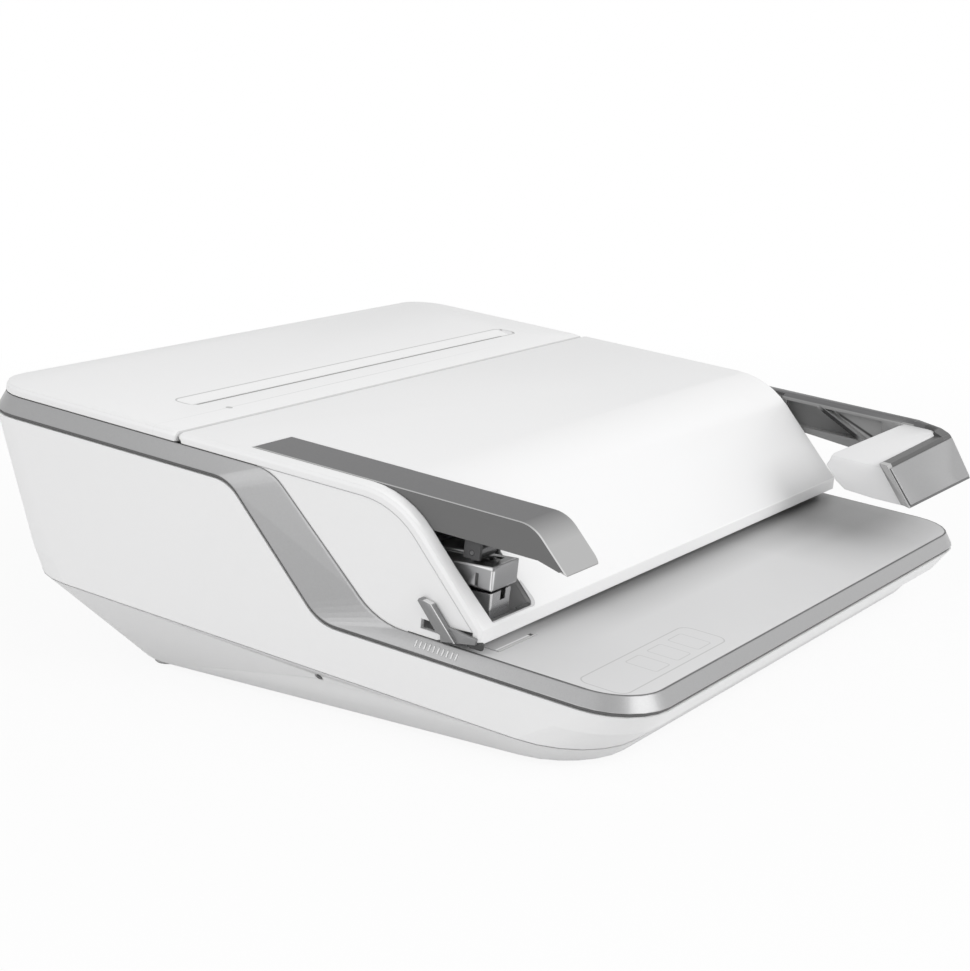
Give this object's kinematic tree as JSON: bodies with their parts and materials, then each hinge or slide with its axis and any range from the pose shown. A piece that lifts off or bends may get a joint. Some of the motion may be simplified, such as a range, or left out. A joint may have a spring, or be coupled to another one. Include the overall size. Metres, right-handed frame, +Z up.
{
  "type": "manual binding machine",
  "caption": "Desk-top comb binding and punching machine with a side handle, a front lid with a built-in stapler, a paper slot and a sloping work tray.",
  "frame": {"origin": "centre of the bounding box on the surface that the feet stand on", "axes": "+X across the machine towards the handle's side, +Y from the tray's front to the rear, +Z up"},
  "size_m": [0.4198, 0.3998, 0.1491],
  "materials": {
    "black_rubber": "matt",
    "bright_steel": "bright",
    "dark_grey_plastic": "satin",
    "light_grey_plastic": "satin",
    "plated_steel": "zinc plated",
    "silver_paint": "metallic paint",
    "tray_grey": "fine texture",
    "white_plastic": "satin"
  },
  "bodies": {
    "case": {"lower_shell": "white_plastic", "base_pan": "white_plastic", "seam_strip": "black_rubber", "trim_band": "silver_paint", "work_tray": "tray_grey", "staple_anvil": "plated_steel", "left_cheek": "white_plastic", "right_cheek": "white_plastic", "rear_top_cover": "white_plastic", "chassis": "plated_steel", "shaft_bush_left": "dark_grey_plastic", "shaft_bush_right": "dark_grey_plastic", "die_plate": "plated_steel", "guide_plate": "plated_steel", "paper_stop_bar": "plated_steel", "comb_bed": "plated_steel", "comb_fingers": "plated_steel", "hinge_pin_left": "bright_steel", "hinge_pin_right": "bright_steel", "foot_rear_left": "black_rubber", "foot_rear_right": "black_rubber", "foot_front_left": "black_rubber", "foot_front_right": "black_rubber", "case_screw_rear_left": "plated_steel", "case_screw_rear_right": "plated_steel", "case_screw_front_left": "plated_steel", "case_screw_front_right": "plated_steel"},
    "lid": {"lid": "white_plastic", "stapler_bracket": "plated_steel", "lever_pivot_pin": "bright_steel", "arm_pivot_pin": "bright_steel"},
    "handle": {"handle_arm": "dark_grey_plastic", "handle_grip": "light_grey_plastic", "handle_front_plate": "silver_paint", "hub_bolt": "plated_steel", "handle_shaft": "bright_steel", "crank_left": "plated_steel", "crank_right": "plated_steel"},
    "punch_slide": {"punch_bar": "bright_steel"},
    "comb_slide": {"comb_hook_bar": "bright_steel", "opener_rod_left": "plated_steel", "opener_rod_right": "plated_steel"},
    "lever": {"stapler_lever": "dark_grey_plastic", "press_roller": "bright_steel"},
    "driver": {"driver_arm": "bright_steel", "driver_blade": "bright_steel"},
    "magazine": {"magazine": "bright_steel", "staple_strip": "plated_steel"},
    "pusher": {"staple_pusher": "dark_grey_plastic"},
    "depth_slide": {"staple_depth_lever": "silver_paint"},
    "drawer": {"chip_drawer": "dark_grey_plastic"}
  },
  "joints": [
    {"name": "lid_hinge", "type": "hinge", "parent": "case", "child": "lid", "pos_m": [-0.0048, 0.06061, 0.13069], "axis": [-1, 0, 0], "range_deg": [0, 65]},
    {"name": "handle_pivot", "type": "hinge", "parent": "case", "child": "handle", "pos_m": [-0.0048, 0.1418, 0.11682], "axis": [-1, 0, 0], "range_deg": [0, 80]},
    {"name": "punch_slide", "type": "slide", "parent": "case", "child": "punch_slide", "axis": [0, 0.9931, 0.1173], "range_m": [0, 0.01202]},
    {"name": "comb_slide", "type": "slide", "parent": "case", "child": "comb_slide", "axis": [0, -0.9931, -0.1173], "range_m": [0, 0.01803]},
    {"name": "lever_pivot", "type": "hinge", "parent": "lid", "child": "lever", "pos_m": [-0.1813, 0.01753, 0.12026], "axis": [1, 0, 0], "range_deg": [0, 6.2], "stiffness_Nm_per_rad": 2, "springref_deg": -8.59},
    {"name": "driver_pivot", "type": "hinge", "parent": "lid", "child": "driver", "pos_m": [-0.1813, 0.01475, 0.07563], "axis": [1, 0, 0], "range_deg": [0, 6.65]},
    {"name": "magazine_pivot", "type": "hinge", "parent": "lid", "child": "magazine", "pos_m": [-0.1813, 0.01475, 0.07563], "axis": [1, 0, 0], "range_deg": [0, 4.36]},
    {"name": "pusher_slide", "type": "slide", "parent": "magazine", "child": "pusher", "axis": [0, 0.9981, 0.062], "range_m": [0, 0.045]},
    {"name": "depth_lever_slide", "type": "slide", "parent": "case", "child": "depth_slide", "axis": [0, 0.9931, 0.1173], "range_m": [0, 0.02]},
    {"name": "drawer_slide", "type": "slide", "parent": "case", "child": "drawer", "axis": [0, 0.9931, 0.1173], "range_m": [0, 0.09]}
  ],
  "couplings": [
    {"joint": "punch_slide", "follows": "handle_pivot", "m_per_rad": 0.0085944},
    {"joint": "comb_slide", "follows": "handle_pivot", "m_per_rad": 0.012892},
    {"joint": "driver_pivot", "follows": "lever_pivot", "ratio": 1.07},
    {"joint": "magazine_pivot", "follows": "lever_pivot", "ratio": 0.7}
  ]
}
